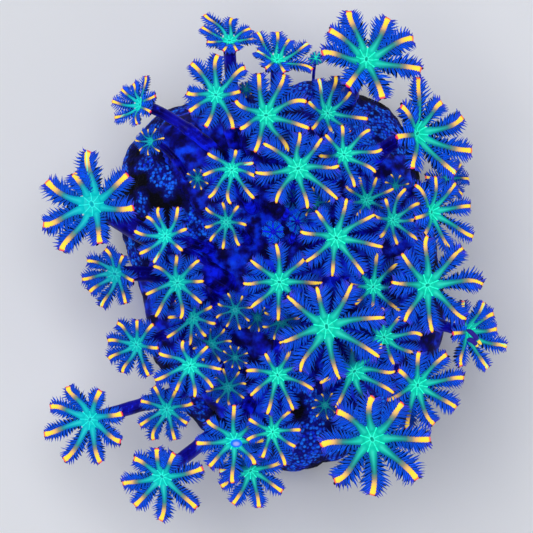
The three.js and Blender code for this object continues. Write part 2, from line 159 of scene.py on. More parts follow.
def plain_mesh(piece):
    """Turns what the modifiers make of a piece into its plain mesh."""
    depsgraph = bpy.context.evaluated_depsgraph_get()
    made = bpy.data.meshes.new_from_object(piece.evaluated_get(depsgraph))
    piece.modifiers.clear()
    piece.data = made
    made.name = piece.name
    return piece


def vertices_of(mesh):
    """A mesh's vertices and normals as two arrays."""
    places = np.empty(len(mesh.vertices) * 3)
    mesh.vertices.foreach_get("co", places)
    normals = np.empty(len(mesh.vertices) * 3)
    mesh.vertex_normals.foreach_get("vector", normals)
    return places.reshape(-1, 3), normals.reshape(-1, 3)


def crusted(place):
    """How far the crust stands out at a place: cellular knobs, with pits bitten into them."""
    knob = noise.voronoi(Vector(place) / ROCK_KNOB)[0][0]
    pit = noise.voronoi(Vector(place) / ROCK_PIT + Vector((7, 3, 1)))[0][0]
    swell = noise.noise(Vector(place) / (3 * ROCK_KNOB))
    return ROCK_KNOB_RISE * (0.5 - knob + 0.7 * swell) - ROCK_PIT_DEPTH * max(0.0, 0.45 - pit) * 2


def build_rock():
    """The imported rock, rounded and crusted, with the crust fading out towards its flat break."""
    piece = rounded_copy("rock", "reef_rock", ROCK_ROUNDS)
    places, normals = vertices_of(piece.data)
    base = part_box("rock")[0][2]
    raised = np.array([crusted(place) for place in places])
    raised *= np.clip((places[:, 2] - base) / ROCK_FADE, 0, 1)
    places += normals * raised[:, None]
    places[:, 2] = np.where(places[:, 2] < base + ROCK_FLAT, base, places[:, 2])
    piece.data.vertices.foreach_set("co", places.ravel())
    piece.data.polygons.foreach_set("use_smooth", [True] * len(piece.data.polygons))
    return piece


def crusted_limestone():
    """Reef limestone under a dark algal crust: rough and dull, with patches of small blue nodules, a few in
    each patch left dark. The crust is lit from within by its own colour as painted light, most strongly where
    the nodules are."""
    material, tree, surface = finish_named("crusted reef limestone")
    where = add_node(tree, "ShaderNodeTexCoord").outputs["Object"]
    patches = add_node(tree, "ShaderNodeTexNoise",
                       [("Vector", where), ("Scale", 1 / ROCK_PATCH), ("Detail", 5.0)])
    nodules = add_node(tree, "ShaderNodeTexVoronoi", [("Vector", where), ("Scale", 1 / ROCK_NODULE)])
    chosen = add_node(tree, "ShaderNodeSeparateColor", [("Color", nodules.outputs["Color"])]).outputs
    part = add_node(tree, "ShaderNodeSeparateXYZ", [(0, where)]).outputs
    read = {"x": part["X"], "z": part["Z"], "nodule": nodules.outputs["Distance"], "chosen": chosen[0]}
    share = shares_of(tree, read, {
        "right": ("x", 0.0, 15 * MM, 0.0, ROCK_LIVELY),
        "upper": ("z", 9 * MM, 16 * MM),
        "shaded": ("z", 2 * MM, 9 * MM, -ROCK_SHADED, 0.0),
        "off the break": ("z", 0.5 * MM, 2 * MM),
        "round top": ("nodule", 0.7, 0.3),
        "lit": ("chosen", 0.12, 0.3),
    })
    more = multiplied(tree, [share["right"], share["upper"]])
    level = add_node(tree, "ShaderNodeMath", [(0, patches), (1, share["shaded"])])
    lively = add_node(tree, "ShaderNodeMath", [(0, level), (1, more)])
    share |= shares_of(tree, {"lively": lively}, {"in patch": ("lively", 0.5, 0.55)})
    crust = add_node(tree, "ShaderNodeValToRGB", [("Fac", lively)],
                     stops=((0.4, ROCK_DARK), (0.62, ROCK_CRUST)))
    nodule = layered(tree, linear(NODULE_DIM), [(NODULE_LIT, chosen[1])])
    colour = layered(tree, crust, [
        (nodule, share["round top"], share["in patch"], share["lit"], share["off the break"]),
    ])
    bumps = (share["round top"], 0.3 * MM, 0.7)
    # painted light: the crust and its nodules are lit from within by their own colour
    finish_surface(tree, surface, colour, bumps, painted_glow=0.5, rough=0.85, gloss=0.15)
    return material


rock = build_rock()
rock.data.materials.clear()
rock.data.materials.append(crusted_limestone())
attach(rock, "root")
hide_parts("rock")


# The stolon mat is the living sheet that the polyps bud from. It creeps over the rock as a
# leathery purple-blue skin with a thin lobed edge, thickened into low runners between stalks.
MAT_SHADE = "#050334"
MAT_DEEP = "#08067a"
MAT_BLUE = "#0c20e0"
MAT_BRIGHT = "#0a50ff"
MAT_ROUNDS = 3
MAT_THICKNESS = 2.1 * MM
MAT_UNDER = 0.6 * MM
MAT_EDGE = 0.16
MAT_EDGE_SOFT = 0.16
MAT_LOBE = 0.07
MAT_LOBES = 5
MAT_RAGGED = 0.05
MAT_FRAYS = 6
BARE_RISE = 0.42
BARE_PATCHES = ((153, 16), (60, 11), (-82, 13))
MAT_WRINKLE = 3.0 * MM
MAT_RISE = 0.7 * MM
MAT_MOTTLE = 2.8 * MM
MAT_BLOB = 2.6 * MM


def mat_cover(place):
    """How well the mat covers a place on the rock: 0 at its lobed edge and 1 well inside it."""
    way = (Vector(place) - ROCK_HEART).normalized()
    bearing = math.atan2(way.y, way.x)
    lobe = MAT_LOBE * math.sin(MAT_LOBES * bearing) + MAT_RAGGED * noise.noise(way * MAT_FRAYS)
    bare = max(
        math.exp(-(((math.degrees(bearing) - middle) / width) ** 2)) for middle, width in BARE_PATCHES
    )
    return (way.z - MAT_EDGE - lobe - BARE_RISE * bare) / MAT_EDGE_SOFT


def build_mat():
    """The rock's own skin under the mat, raised by the mat's thickness, and closed below."""
    source = rounded_copy("rock", "stolon_mat_skin", MAT_ROUNDS)
    places, normals = vertices_of(source.data)
    cover = np.array([mat_cover(place) for place in places])
    faces = [tuple(face.vertices) for face in source.data.polygons]
    kept = [face for face in faces if min(cover[list(face)]) > 0]
    used = sorted({corner for face in kept for corner in face})
    number = {corner: order for order, corner in enumerate(used)}
    inside = np.clip(cover[used], 0, 1)
    runners = np.array([
        noise.noise(Vector(place) / MAT_WRINKLE) + 0.5 * noise.noise(Vector(place) / (0.4 * MAT_WRINKLE))
        for place in places[used]
    ])
    lift = MAT_THICKNESS * np.sqrt(inside * (2 - inside)) + MAT_RISE * np.abs(runners) * inside
    upper = places[used] + normals[used] * lift[:, None]
    lower = places[used] - normals[used] * MAT_UNDER
    shift = len(used)
    skins = [tuple(number[corner] for corner in face) for face in kept]
    unders = [tuple(corner + shift for corner in reversed(face)) for face in skins]
    edges = {(a, b) for face in skins for a, b in zip(face, face[1:] + face[:1])}
    walls = [(b, a, a + shift, b + shift) for a, b in edges if (b, a) not in edges]
    mesh = bpy.data.meshes.new("stolon_mat_skin")
    mesh.from_pydata([*map(Vector, upper), *map(Vector, lower)], [], skins + unders + sorted(walls))
    mesh.polygons.foreach_set("use_smooth", [True] * len(mesh.polygons))
    source.data = mesh
    return source


def leathery_skin():
    """Stolon tissue: a leathery wet skin, violet blue and mottled, darkest in its folds, partly from its own
    mottle and partly as painted shade, and lit from within by its own colour as painted light.
    """
    material, tree, surface = finish_named("leathery stolon skin")
    where = add_node(tree, "ShaderNodeTexCoord").outputs["Object"]
    mottle = add_node(tree, "ShaderNodeTexNoise",
                      [("Vector", where), ("Scale", 1 / MAT_MOTTLE), ("Detail", 4.0)])
    blobs = add_node(tree, "ShaderNodeTexVoronoi", [("Vector", where), ("Scale", 1 / MAT_BLOB)],
                     feature="SMOOTH_F1")
    read = {"mottle": mottle.outputs["Fac"], "blob": blobs.outputs["Distance"]}
    share = shares_of(tree, read, {
        "blob": ("blob", 0.62, 0.15, 0.0, 0.7),
        "lively": ("mottle", 0.46, 0.64),
    })
    # the darkest mottle falls where the bumps sink into folds: partly the skin's own mottle, partly painted
    # shade
    colour = add_node(tree, "ShaderNodeValToRGB", [("Fac", read["mottle"])],
                      stops=((0.38, MAT_SHADE), (0.52, MAT_DEEP), (0.72, MAT_BLUE)))
    colour = layered(tree, colour, [(MAT_BRIGHT, share["blob"], share["lively"])])
    bumps = (read["mottle"], 0.3 * MM, 0.5)
    # painted light: the skin is lit from within by its own colour
    finish_surface(tree, surface, colour, bumps, painted_glow=0.45, rough=0.6, gloss=0.08)
    return material


mat = build_mat()
mat.data.materials.clear()
mat.data.materials.append(leathery_skin())
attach(mat, "root")
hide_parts("stolon_mat")


# Each polyp is one soft body: a stalk that swells up from the mat, a stiffer sleeve round its
# lower part, a flaring neck, a flat mouth disc and eight tentacles. A tentacle is a flattened rib
# with two rows of barbs down either side, as on a feather.
DEEP = dict(feather=1.5, ripe=0.9)
SMALL = dict(feather=1.4, ripe=0.9)
SHUT = dict(feather=2, ripe=0.3, shut=True)
# Each row gives the middle of a crown in millimetres (at) and its tips as they are seen from above (bearing,
# distance), or the first of eight even ones. Where it isn't as on most crowns, a row also gives the crown's
# lean (bearing and degrees), how far its tips rise as a share of their reach (cup), where its stalk is rooted
# (foot) and the stalk's radius, how far the tissue is darkened as painted shade on crowns that sit low or
# deep in the colony, or lightened on the shut buds (glow), how long the barbs are for the crown's size
# (feather), how far the tips have coloured (ripe), whether the crown is shut, a swollen mouth (bearing,
# distance, half length and half width), and the paths of tentacles that have rolled back over the disc
# (curls).
POLYPS = [
    # the far left corner
    dict(name="polyp_01", at=(-8.4, 51, 37), lean=(90, 38), cup=0.25, foot=(-7, 32), stalk=1.6, feather=1.2,
         tips=((5, 6.5), (31, 5.5), (84, 5.3), (133, 8.3), (153, 7), (182, 5), (238, 2.6), (308, 2.8))),
    dict(name="polyp_02", at=(-28.7, 36.8, 31), lean=(170, 48), cup=0.35,
         foot=(-10, 25), stalk=1.4, feather=1.2,
         tips=((28, 4), (78, 6.5), (108, 5), (140, 5.5), (172, 6.5), (206, 6.5), (262, 4.5), (324, 3))),
    dict(name="polyp_03", tone_and_painted_shade=0.7, at=(-26.2, 28.5, 29), lean=(175, 45), cup=0.5,
         foot=(-18, 20), stalk=0.9, feather=1.5, ripe=0.95,
         tips=((12, 3), (70, 3), (105, 2.8), (135, 3.2), (176, 3.6), (218, 3.4), (258, 3.2), (309, 3))),
    dict(name="polyp_04", at=(-39.5, 14.1, 37), lean=(155, 14), foot=(-10, -3.5), stalk=2.6,
         tips=((39, 10.5), (93, 12), (121, 8), (153, 11.5), (203, 12), (237, 12.5), (282, 9), (355, 9.5))),
    dict(name="polyp_05", at=(-11.4, 38.6, 46), lean=(115, 14),
         tips=((8, 5.5), (43, 9), (87, 9), (128, 9), (176, 6.5), (212, 7), (252, 7.5), (297, 8.5))),
    dict(name="polyp_06", at=(-7.8, 21.7, 47), lean=(120, 8),
         tips=((19, 5), (79, 4.5), (145, 6.5), (190, 6.5), (230, 8), (268, 7.5), (308, 8), (346, 5.5))),
    dict(name="polyp_07", at=(-22.8, 6.9, 44), lean=(170, 12),
         tips=((18, 5), (66, 7), (104, 6.5), (135, 6), (171, 7), (215, 7), (247, 6.5), (319, 5))),
    dict(name="polyp_08", tone_and_painted_shade=0.75, at=(-9.1, 10, 45), lean=(200, 5),
         tips=((52, 4.5), (100, 4.5), (145, 5.5), (193, 4.8), (230, 5.5), (263, 6), (300, 6), (351, 4.5))),
    dict(DEEP, name="polyp_09", tone_and_painted_shade=0.5, at=(-15.6, 19.9, 36), lean=(140, 10), cup=0.3, even=(20, 2.6)),
    # the far middle and right
    dict(name="polyp_10", at=(-0.1, 33.9, 50), lean=(90, 10),
         tips=((19, 9.5), (66, 10), (100, 9.5), (154, 7.5), (207, 6.5), (253, 8.5), (300, 9.5), (343, 10))),
    dict(name="polyp_11", at=(2.4, 46.5, 42), lean=(85, 38), cup=0.25, foot=(3, 35), stalk=1.5, feather=1.2,
         tips=((29, 8), (60, 5.5), (90, 6.5), (124, 7.8), (155, 5), (215, 3.2), (302, 3.2), (345, 8.2))),
    dict(name="polyp_12", at=(22.4, 46.5, 49), lean=(60, 20), cup=0.25, foot=(17, 34),
         tips=((24, 11.5), (62, 10.5), (110, 11.5), (142, 10.5),
               (173, 10), (235, 7.5), (292, 9.5), (349, 12.5))),
    dict(name="polyp_13", tone_and_painted_shade=0.85, at=(13.8, 34.5, 45), lean=(70, 10), cup=0.15,
         tips=((43, 7), (78, 8.5), (105, 8), (149, 5), (225, 5), (283, 5), (320, 6.5), (352, 9))),
    dict(name="polyp_14", at=(17.4, 25.1, 50), lean=(45, 10),
         tips=((8, 8.5), (44, 8), (94, 6.5), (133, 6), (182, 5.5), (240, 5.5), (288, 7.5), (331, 8))),
    dict(name="polyp_15", at=(7.1, 21.9, 55), lean=(100, 6), cup=0.05, foot=(8, 17),
         tips=((4, 9), (52, 8.5), (88, 8), (144, 9.5), (185, 9.5), (237, 9), (283, 9), (322, 11))),
    dict(name="polyp_16", tone_and_painted_shade=0.75, at=(22.6, 15, 40), lean=(20, 8), cup=0.15,
         tips=((23, 6.5), (66, 5.5), (107, 5.5), (146, 5.5), (188, 5), (240, 4.2), (290, 4.8), (341, 5.5))),
    dict(name="polyp_17", tone_and_painted_shade=0.8, at=(28.5, 10.5, 44), lean=(10, 14),
         tips=((32, 7), (68, 7.5), (110, 5), (167, 4.5), (232, 4.8), (280, 5.5), (321, 7), (357, 5.5))),
    dict(name="polyp_18", at=(15.6, 6.4, 54), lean=(0, 5), cup=0.05,
         tips=((31, 10), (75, 9), (127, 7.5), (170, 8), (218, 8.5), (264, 8.5), (307, 10), (349, 10.5))),
    dict(DEEP, name="polyp_19", tone_and_painted_shade=0.45, at=(10.9, 14.3, 42), cup=0.3, even=(10, 3.6)),
    dict(name="polyp_20", at=(33.9, 30, 42), lean=(5, 34), cup=0.5, foot=(23, 23),
         tips=((20, 11), (52, 9), (89, 12.5), (122, 7), (192, 4.8), (262, 8), (314, 12.5), (343, 13))),
    dict(name="polyp_21", at=(37.2, 12.3, 40), lean=(0, 34), cup=0.45, foot=(26, 9),
         tips=((9, 9), (50, 8.5), (84, 8), (122, 7), (200, 4), (254, 6.5), (298, 9.5), (330, 11))),
    dict(DEEP, name="polyp_22", tone_and_painted_shade=0.45, at=(29.1, 18.1, 35), lean=(20, 20), cup=0.3, even=(15, 3.2)),
    dict(name="polyp_23", tone_and_painted_shade=0.6, at=(41, 20, 32), lean=(15, 50), cup=0.3,
         foot=(31, 16), even=(0, 5), feather=1.3),
    # the near right
    dict(name="polyp_24", at=(36.1, -4.2, 49), lean=(0, 16), cup=0.15,
         tips=((1, 12.5), (46, 11.5), (90, 11), (129, 9), (175, 8), (238, 9.5), (276, 10.5), (319, 11.5))),
    dict(name="polyp_25", at=(24, -4.6, 45), lean=(0, 8),
         tips=((9, 7), (44, 8), (83, 8), (132, 7), (171, 5.8), (225, 5.5), (272, 5.2), (318, 8))),
    dict(name="polyp_26", at=(13.4, -13.4, 58), lean=(300, 5), cup=0.05,
         tips=((9, 13), (59, 11), (104, 9), (142, 11), (199, 11), (240, 11.5), (284, 12), (330, 13.5))),
    dict(name="polyp_27", at=(26.4, -15.9, 48), lean=(340, 8),
         tips=((3, 8.5), (52, 6.5), (92, 6.5), (142, 7), (187, 7.5), (232, 7.5), (290, 6.5), (335, 9))),
    dict(name="polyp_28", at=(45.6, -14.7, 37), lean=(350, 36), cup=0.4, foot=(31, -11),
         curls=(((-0.9, 0.4, 0.6), (0.3, 0.2, 1.6), (0.6, -1.4, 2.2), (2.3, -2.8, 2.2)),
                ((-0.8, -1.9, 0.8), (-0.2, -1.2, 1.8), (0.8, -2.8, 2.0), (1.7, -3.3, 1.7))),
         tips=((5, 6.5), (35, 7), (62, 7.5), (100, 7), (187, 3.6), (258, 8), (298, 9.5), (339, 9.5))),
    dict(name="polyp_29", at=(19.7, -23.5, 51), lean=(300, 8),
         tips=((0, 9), (45, 8.5), (93, 7.5), (144, 7), (199, 8), (243, 9), (288, 9), (331, 10))),
    dict(name="polyp_30", at=(34, -26.7, 46), lean=(320, 18), cup=0.2,
         tips=((9, 10.5), (47, 9.5), (88, 7.5), (143, 5.5), (205, 7.5), (256, 10), (293, 9.5), (330, 10))),
    dict(name="polyp_31", at=(23.6, -38.6, 55), lean=(300, 10), cup=0.05, foot=(15, -28),
         tips=((0, 13), (50, 10.5), (89, 9.5), (142, 10),
               (187, 11.5), (228, 12.5), (270, 12.5), (318, 13.5))),
    # the near left
    dict(name="polyp_32", tone_and_painted_shade=0.75, at=(-34.3, -1.7, 36), lean=(185, 22), cup=0.2,
         foot=(-19, -2), stalk=1.9, feather=1.15,
         tips=((66, 4.5), (111, 6), (155, 7), (189, 7.5), (215, 7), (247, 8), (290, 7), (340, 4.5))),
    dict(name="polyp_33", tone_and_painted_shade=0.85, at=(-20.1, -3.7, 41), lean=(190, 8),
         foot=(-13, -8.2), feather=1.1,
         tips=((46, 7), (92, 6.2), (145, 6.5), (200, 7.5), (237, 9), (275, 8), (320, 7), (4, 5.8))),
    dict(name="polyp_34", tone_and_painted_shade=0.7, at=(-16.7, -11.7, 37), lean=(210, 5), feather=1.1,
         tips=((32, 5), (81, 5), (135, 5.5), (178, 5.5), (217, 7.2), (263, 6), (306, 5), (347, 5.2))),
    dict(SMALL, name="polyp_35", tone_and_painted_shade=0.5, at=(-7.1, -9.8, 41), lean=(200, 4), cup=0.15,
         tips=((62, 3.5), (114, 4), (160, 4), (203, 4.5), (243, 4.2), (285, 4.5), (322, 4), (10, 3.8))),
    dict(name="polyp_36", tone_and_painted_shade=0.85, at=(-29.5, -17.7, 35), lean=(195, 18), cup=0.15,
         foot=(-19, -14), feather=1.15,
         tips=((50, 6), (88, 5.5), (131, 6.5), (172, 6.5), (207, 7), (244, 7), (292, 7.5), (352, 5))),
    dict(SMALL, name="polyp_37", tone_and_painted_shade=0.55, at=(-12.5, -17.7, 33), lean=(210, 4), cup=0.15,
         tips=((9, 4.5), (50, 4.5), (92, 4.2), (146, 4.2), (193, 4.2), (243, 4.2), (296, 4.2), (335, 4.5))),
    dict(name="polyp_38", at=(-17.2, -22.4, 43), lean=(215, 10), foot=(-10.5, -24.5),
         tips=((48, 5.8), (106, 5.8), (158, 7.5), (202, 8.5), (240, 6.5), (278, 7), (316, 7), (354, 7))),
    dict(DEEP, name="polyp_39", tone_and_painted_shade=0.4, at=(-7.1, -20.6, 39), cup=0.3, foot=(-5, -19), even=(22, 3)),
    dict(SMALL, name="polyp_40", tone_and_painted_shade=0.5, at=(-8.7, -27.3, 36), lean=(240, 5), cup=0.15, foot=(-6, -24),
         tips=((10, 4), (54, 4.2), (105, 4.2), (150, 4.2), (191, 5), (234, 4.3), (276, 4.3), (325, 4.3))),
    dict(DEEP, name="polyp_41", tone_and_painted_shade=0.35, at=(-2.1, -11.6, 36), cup=0.25, foot=(-1, -11), even=(5, 3.2)),
    dict(SMALL, name="polyp_42", tone_and_painted_shade=0.45, at=(3.3, -12.5, 42), cup=0.2,
         tips=((13, 4.2), (57, 4.2), (104, 4.2), (150, 4.2), (195, 4.2), (248, 4.2), (292, 4.2), (334, 4.2))),
    dict(name="polyp_43", at=(-40.1, -34.8, 30), lean=(190, 16), foot=(-15, -27.5), feather=0.8,
         tips=((11, 7.5), (70, 7), (124, 9), (163, 9.5), (198, 11), (237, 11), (284, 10), (325, 8.5))),
    dict(name="polyp_44", tone_and_painted_shade=0.8, at=(-22.6, -32.5, 34), lean=(215, 12), foot=(-14, -20.5),
         tips=((15, 6), (65, 5), (118, 6), (161, 6.2), (210, 7), (246, 7.5), (285, 7), (327, 5.5))),
    dict(name="polyp_45", at=(-23.7, -47.6, 35), lean=(230, 16), cup=0.15, foot=(-6, -34), stalk=1.75,
         tips=((12, 9.5), (62, 6), (100, 6.5), (147, 7.5), (190, 9), (227, 9), (268, 10), (318, 10.5))),
    dict(name="polyp_46", at=(-7.3, -39.3, 42), lean=(240, 8),
         foot=(-3, -30), mouth=(-45, 0.8, 1.4, 0.95),
         tips=((2, 6.8), (42, 7), (90, 8), (142, 7.5), (184, 8.5), (226, 8), (268, 9.5), (311, 7))),
    dict(name="polyp_47", at=(-3.6, -46.2, 38), lean=(255, 14), foot=(1, -34),
         tips=((17, 7), (52, 5.5), (122, 5), (180, 7), (208, 7.5), (242, 8.5), (283, 8.5), (327, 8.5))),
    dict(name="polyp_48", at=(1.4, -37.2, 46), lean=(280, 8), foot=(5, -30),
         tips=((4, 6.2), (50, 6), (100, 6), (152, 6), (198, 6), (248, 6.2), (290, 8), (327, 6))),
    dict(name="polyp_49", at=(2.5, -24.4, 49), lean=(250, 5), cup=0.08,
         tips=((20, 7), (65, 6.2), (120, 5.5), (172, 7), (217, 7.5), (255, 9), (294, 8.5), (338, 8.5))),
    dict(name="polyp_50", at=(2.9, -3.5, 51), lean=(150, 4), cup=0.05,
         tips=((45, 8.5), (95, 8.5), (143, 8), (182, 8), (222, 8.5), (268, 8.5), (318, 8), (359, 9.5))),
    dict(DEEP, name="polyp_51", tone_and_painted_shade=0.45, at=(13.2, -31.3, 40), cup=0.25, even=(12, 3.2)),
    # closed and half closed crowns
    dict(SHUT, ripe=0.35, name="bud_01", tone_and_painted_shade=1.5, at=(1.5, 7.8, 40), cup=1.1, even=(0, 2.4)),
    dict(SHUT, name="bud_02", tone_and_painted_shade=1.4, at=(6, 15, 43), cup=0.8, even=(15, 2.4), foot=(4, 11)),
    dict(SHUT, name="bud_03", tone_and_painted_shade=1.4, at=(6.9, 10, 44), cup=0.8, even=(30, 2.4)),
    dict(name="bud_04", tone_and_painted_shade=0.8, at=(11.1, 46.9, 40), lean=(80, 30), cup=1.2, even=(10, 1.6),
         foot=(11, 39.5), ripe=0.5, feather=1.4),
    dict(name="bud_05", tone_and_painted_shade=0.6, at=(-4.6, 40, 40), lean=(90, 10), cup=0.8, even=(0, 1.8),
         foot=(-3, 33), ripe=0.7, feather=1.4),
]
HEART = Vector((4, -1, 0)) * MM
FLAT_CUP = 0.1
ARMS = 8
SECTOR = 360 / ARMS
HALF_SECTOR = SECTOR / 2
EVEN_DRIFT = 16
EVEN_SHORT = 0.3
# the stalk, its sleeve and its neck: rings of (share of the height, width, skin)
FOOT_PULL = 0.62
FOOT_DEPTH = 1.3 * MM
FOOT_RINGS = ((0.0, 1.55, 1.0), (0.02, 1.28, 1.0), (0.06, 1.1, 1.0))
STALK_SHARE = 0.17
STALK_LEAST = 0.15
SLEEVE_SHARE = 0.62
SLEEVE_RIDGE = 1.8 * MM
SLEEVE_RINGS = ((0.012, 1.1, 1.0), (0.03, 0.95, 0.9), (0.06, 0.88, 0.8))
SMOOTH_RINGS = 4
NECK_SHARE = 0.55
NECK_WIDTH = 0.9
NECK_RINGS = ((0.35, 0.12, 0.8), (0.65, 0.42, 0.75), (0.85, 0.78, 0.65), (0.97, 1.1, 0.3))
AROUND = 32
FAR_FROM_SEAM = 9.0
# the mouth disc: rings of (share of its radius, rise)
DISC_SHARE = 0.21
DISC_LEAST = 1.05
DISC_RINGS = ((1.0, 0.16), (0.85, 0.15), (0.68, 0.11), (0.5, 0.08),
              (0.36, 0.1), (0.25, 0.15), (0.17, 0.15), (0.08, 0.02))
MOUTH_EDGE = 0.3
MOUTH_LIFT = 0.4
MOUTH_LEVELS = 8
# the tentacles: shares of the crown's reach, unless they are real sizes
ARM_ARCH = 0.07
ARM_ROOT = 0.18
HOOK = 0.3
RIB_WIDTH = 0.072
RIB_DEPTH = 0.72
RIB_END = 0.42 * MM
RIB_END_SHARE = 0.86
RIB_LEAST = 0.2 * MM
RIB_SIDES = 8
RIB_STEPS = 12
BASE_SPREAD = 0.036
FLARE_START = 30 * MM
FLARE_RUN = 15 * MM
CURL_RADIUS = 0.6 * MM
CURL_STEPS = 14
CURL_TIP = 0.75
# the barbs, in an upper and an under row: (lift, length); the under row is coloured near black, as painted
# shade that fills the gaps between the upper barbs
BARB_REACH = 0.2
BARB_COUNT = (6, 0.66)
BARB_THICKNESS = 0.31
BARB_ROWS = ((0.14, 1.0), (-0.2, 0.75))
BARB_WAVE = 0.09
WAVE_LENGTH = 1.3 * MM
# the shade under higher crowns, and how much tips and barbs are spared from dimming
SHADE_START = 0.3 * MM
SHADE_DEPTH = 2.5 * MM
SHADE_EDGE = 0.12
SHADE_MOST = 0.65
SHADE_LEAST = 0.25
TIP_LIGHT = 0.75
BARB_LIGHT = 0.35
# colours by what they follow: the way out along a tentacle, or the blotches of the skin
TISSUE_HUES = {
    "rib": ("reach", (0.0, "#067f70"), (0.035, "#08a08a"), (0.048, "#3cf5d2"), (0.06, "#0bc09e"),
            (0.2, "#0ab49a"), (0.3, "#0a948e"), (0.44, "#0b747c"), (0.55, "#2c6c74"), (0.64, "#85806c"),
            (0.72, "#e0ae68"), (0.82, "#ffd43c"), (0.955, "#ffdc48"), (0.98, "#ff7a3c"), (1.0, "#f02a6a")),
    "rib side": ("reach", (0.7, "#f0802a"), (0.9, "#e8305c")),
    "feather": ("reach", (0.25, "#0868d0"), (0.45, "#0664ff"), (0.8, "#145cff"), (1.0, "#5a4cff")),
    "neck": ("blotch", (0.35, "#060044"), (0.7, "#0c0a98")),
    "sleeve": ("blotch", (0.38, "#04003a"), (0.52, "#08068c"), (0.68, "#0a20ea")),
}


def bearing_vector(degrees, distance, height=0.0):
    """A vector along a bearing, with a height of its own."""
    turn = math.radians(degrees)
    return Vector((distance * math.cos(turn), distance * math.sin(turn), height))


def bezier(controls, along):
    """The point and the unit direction of a Bezier curve at a share of its parameter."""
    points = [point.copy() for point in controls]
    while len(points) > 2:
        points = [a.lerp(b, along) for a, b in zip(points, points[1:])]
    return points[0].lerp(points[1], along), (points[1] - points[0]).normalized()


class Shell:
    """The corners and faces of a polyp's skin, with what its finish reads at each corner."""

    def __init__(self):
        self.places, self.faces, self.values = [], [], []

    def corner(self, place, reach=0.0, stalk=0.0, seam=FAR_FROM_SEAM, crest=1.0):
        self.places.append(place)
        self.values.append((reach, stalk, seam, crest))
        return len(self.places) - 1

    def band(self, low, high):
        for place in range(len(low)):
            after = (place + 1) % len(low)
            self.faces.append((low[place], low[after], high[after], high[place]))

    def lid(self, ring, middle, top):
        for place in range(len(ring)):
            after = (place + 1) % len(ring)
            pair = (ring[place], ring[after]) if top else (ring[after], ring[place])
            self.faces.append((*pair, middle))

    def closed(self, rings, start, end, inwards=False):
        """Joins rings to each other and to a corner at either end. Rings that run the other way
        round, as a tentacle's do, are joined inwards."""
        self.lid(rings[0], start, top=inwards)
        for low, high in zip(rings, rings[1:]):
            self.band(*((high, low) if inwards else (low, high)))
        self.lid(rings[-1], end, top=not inwards)


def even_tips(first, distance):
    """Tips all round, some of them a little short and out of line."""
    for arm in range(ARMS):
        drift = noise.noise(Vector((0.7 * first, 2.3 * arm, distance)))
        yield first + SECTOR * arm + EVEN_DRIFT * drift, distance * (1 - EVEN_SHORT * max(0.0, 2 * drift))


def measured(polyp):
    """A polyp's sizes in metres: its arms in order, reach, stalk and disc radius, head and lean."""
    tips = sorted(polyp.get("tips") or even_tips(*polyp["even"]))
    turn = sum(bearing - SECTOR * arm for arm, (bearing, _) in enumerate(tips)) / ARMS
    reach = sum(distance for _, distance in tips) / ARMS
    stalk = polyp.get("stalk", STALK_SHARE * reach + STALK_LEAST)
    bearing, degrees = polyp.get("lean", (0, 0))
    tilt = math.radians(degrees)
    upright = bearing_vector(bearing, math.sin(tilt), math.cos(tilt))
    head = Vector(polyp["at"]) * MM
    foot = Vector((*polyp["foot"], 0)) * MM if "foot" in polyp else HEART + (head - HEART) * FOOT_PULL
    foot.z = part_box(polyp["name"])[0][2]
    return dict(
        arms=[(SECTOR * arm + turn, bearing, distance * MM) for arm, (bearing, distance) in enumerate(tips)],
        reach=reach * MM, stalk=stalk * MM, disc=max(DISC_SHARE * reach, DISC_LEAST * stalk) * MM,
        upright=upright, head=head, foot=foot, slope=bearing_vector(bearing, math.tan(tilt)),
        cup=polyp.get("cup", FLAT_CUP), spin=Vector((0, 0, 1)).rotation_difference(upright),
        ripe=polyp.get("ripe", 1.0), barbs=BARB_REACH * polyp.get("feather", 1.0) * reach * MM,
        flare=min(1.0, max(0.0, ((head - HEART).xy.length - FLARE_START) / FLARE_RUN)),
    )


def seam_distance(radius, offset):
    """How far in millimetres a point lies from the partition between two arms, at a radius from
    the mouth and an angle from the nearer arm."""
    offset = abs((offset + HALF_SECTOR) % SECTOR - HALF_SECTOR)
    return radius / MM * math.sin(math.radians(HALF_SECTOR - offset))


def stalk_rings(polyp, seed):
    """The rings of the stalk, its ridged sleeve and its neck, and the height they share."""
    height = (polyp["head"] - polyp["foot"]).length
    neck = 1 - NECK_SHARE * polyp["reach"] / height
    sleeve = SLEEVE_SHARE * neck
    smooth = sleeve + SLEEVE_RINGS[-1][0]
    rings = [(-FOOT_DEPTH / height, 1.9, 1.0), *FOOT_RINGS]
    steps = max(4, round((sleeve - 0.08) * height / SLEEVE_RIDGE))
    for step in range(steps):
        share = 0.1 + (sleeve - 0.1) * step / (steps - 1)
        rings.append((share, 1.04 + 0.05 * math.sin(2.4 * step + seed), 1.0))
    for share, width, skin in SLEEVE_RINGS:
        rings.append((sleeve + share, width, skin))
    for step in range(1, SMOOTH_RINGS + 1):
        share = smooth + (neck - smooth) * step / SMOOTH_RINGS
        rings.append((share, NECK_WIDTH + 0.02 * math.sin(3 * step + seed), 0.8))
    spread = polyp["disc"] / polyp["stalk"] - NECK_WIDTH
    for share, width, skin in NECK_RINGS:
        rings.append((neck + (1 - neck) * share, NECK_WIDTH + spread * width, skin))
    return rings, height


